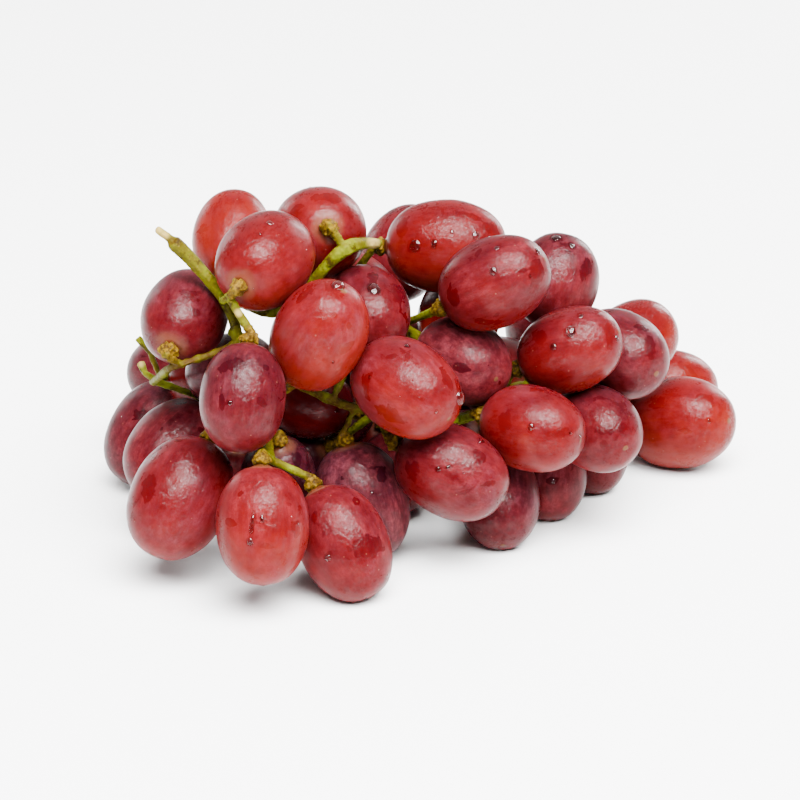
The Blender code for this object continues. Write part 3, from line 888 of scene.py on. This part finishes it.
def drop_points(point, outward, half_width, height, slide, unit):
    """The points of a drop on a skin, flattened against it and drawn out downhill."""
    down = Vector((0, 0, -1))
    downhill = down - outward * down.dot(outward)
    if downhill.length < LEAST_SLOPE:
        downhill = outward.orthogonal()
    downhill.normalize()
    across = outward.cross(downhill)
    size = np.array([half_width * slide, half_width, half_width * height])
    middle = point - outward * half_width * height * DROP_SINK
    return unit * size @ np.array([downhill, across, outward]) + np.array(middle)


def large_drops(ovals):
    """The points and faces of each drop that the picture shows."""
    unit, faces = ball(*LARGE_BALL)
    for drop, oval, point in on_skins(ovals, DROPS):
        outward = oval.normal(point)
        yield drop_points(point, outward, drop.half_width * MM, drop.height, drop.slide, unit), faces


def small_drops(ovals, draw):
    """The points and faces of the spray of very small drops over all berries."""
    unit, faces = ball(*SMALL_BALL)
    for oval in ovals:
        for _ in range(SMALL_DROPS):
            way = Vector([draw.gauss(0, 1) for _ in range(3)]).normalized()
            start = oval.centre + way * OUTSIDE
            point = start - way * oval.meet(start, -way)
            if point.z < LOWEST_DROP:
                continue
            outward, half_width = oval.normal(point), draw.uniform(*SMALL_HALF_WIDTHS) * MM
            yield drop_points(point, outward, half_width, SMALL_HEIGHT, SMALL_SLIDE, unit), faces


def drops_object(ovals, draw):
    """All the water drops as one piece."""
    points, faces, count = [], [], 0
    for drop, corners in [*large_drops(ovals), *small_drops(ovals, draw)]:
        points.append(drop)
        faces += [[count + corner for corner in face] for face in corners]
        count += len(drop)
    mesh = bpy.data.meshes.new("water_drops")
    mesh.from_pydata(np.vstack(points).tolist(), [], faces)
    mesh.shade_smooth()
    return in_scene("water_drops", mesh)


def skin_marks(ovals):
    """The wiped marks of each berry, with those round its drops."""
    marks = {oval.number: [] for oval in ovals}
    for mark, oval, point in on_skins(ovals, WIPED):
        marks[oval.number].append((mark, point))
    for drop, oval, point in on_skins(ovals, DROPS):
        wet = WET_MARGIN * drop.half_width * MM * FOCAL_PIXELS / SIGHT_DISTANCE
        marks[oval.number].append((Mark(drop.across, drop.down, wet, wet), point))
    return marks


def dress_bunch():
    draw = random.Random(SEED)
    names = sorted(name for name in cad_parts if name.startswith("berry_"))
    ovals = [read_oval(int(name[-2:]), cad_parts[name]) for name in names]
    marks = skin_marks(ovals)
    skin = skin_material()
    for oval in ovals:
        look = LOOKS.get(oval.number) or Look(draw.uniform(*HIDDEN_RIPE), draw.uniform(*HIDDEN_BLOOM))
        mesh = skin_mesh(oval, look, marks[oval.number], draw)
        mesh.materials.append(skin)
        made = in_scene(f"skin_{oval.number:02d}", mesh)
        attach(made, "root")
        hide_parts(f"berry_{oval.number:02d}")
    stems = stem_object(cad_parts["rachis"], ovals)
    stems.data.materials.clear()
    stems.data.materials.append(stem_material())
    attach(stems, "root")
    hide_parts("rachis")
    drops = drops_object(ovals, draw)
    drops.data.materials.append(water_material())
    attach(drops, "root")


def hang_panel(panel):
    light = bpy.data.lights.new(panel.name, "AREA")
    light.shape = "ELLIPSE"
    light.size, light.size_y = panel.size
    light.energy = panel.power
    made = in_scene(panel.name, light)
    made.location = panel.place
    made.rotation_euler = (LIGHT_AIM - Vector(panel.place)).to_track_quat("-Z", "Y").to_euler()


def light_studio():
    """A white sky that is brighter behind the bunch, the light panels, and the floor."""
    world = bpy.data.worlds.new("studio")
    bpy.context.scene.world = world
    n = Nodes(world, "Background")
    where = n.add("ShaderNodeTexCoord", output="Generated")
    depth = n.add("ShaderNodeSeparateXYZ", {0: where}, output="Y")
    n.set(Strength=n.step(depth, SKY_FROM, SKY_TO, SKY_DIM, SKY_BRIGHT), Color=WHITE)
    for panel in PANELS:
        hang_panel(panel)
    bpy.ops.mesh.primitive_plane_add(size=FLOOR_SIZE, location=(0, 0, -FLOOR_DROP))
    floor = bpy.context.object
    floor.name = "floor"
    floor.data.materials.append(floor_material())


def place_camera():
    camera = in_scene("camera", bpy.data.cameras.new("camera"))
    nearer = view_axes()[2]
    camera.location = AIM + nearer * SIGHT_DISTANCE
    camera.rotation_euler = (-nearer).to_track_quat("-Z", "Y").to_euler()
    camera.data.sensor_width = SENSOR_WIDTH
    camera.data.lens = SENSOR_WIDTH * FOCAL_PIXELS / PICTURE_SIZE
    camera.data.clip_start = CLIP_START
    bpy.context.scene.camera = camera


dress_bunch()
light_studio()
place_camera()
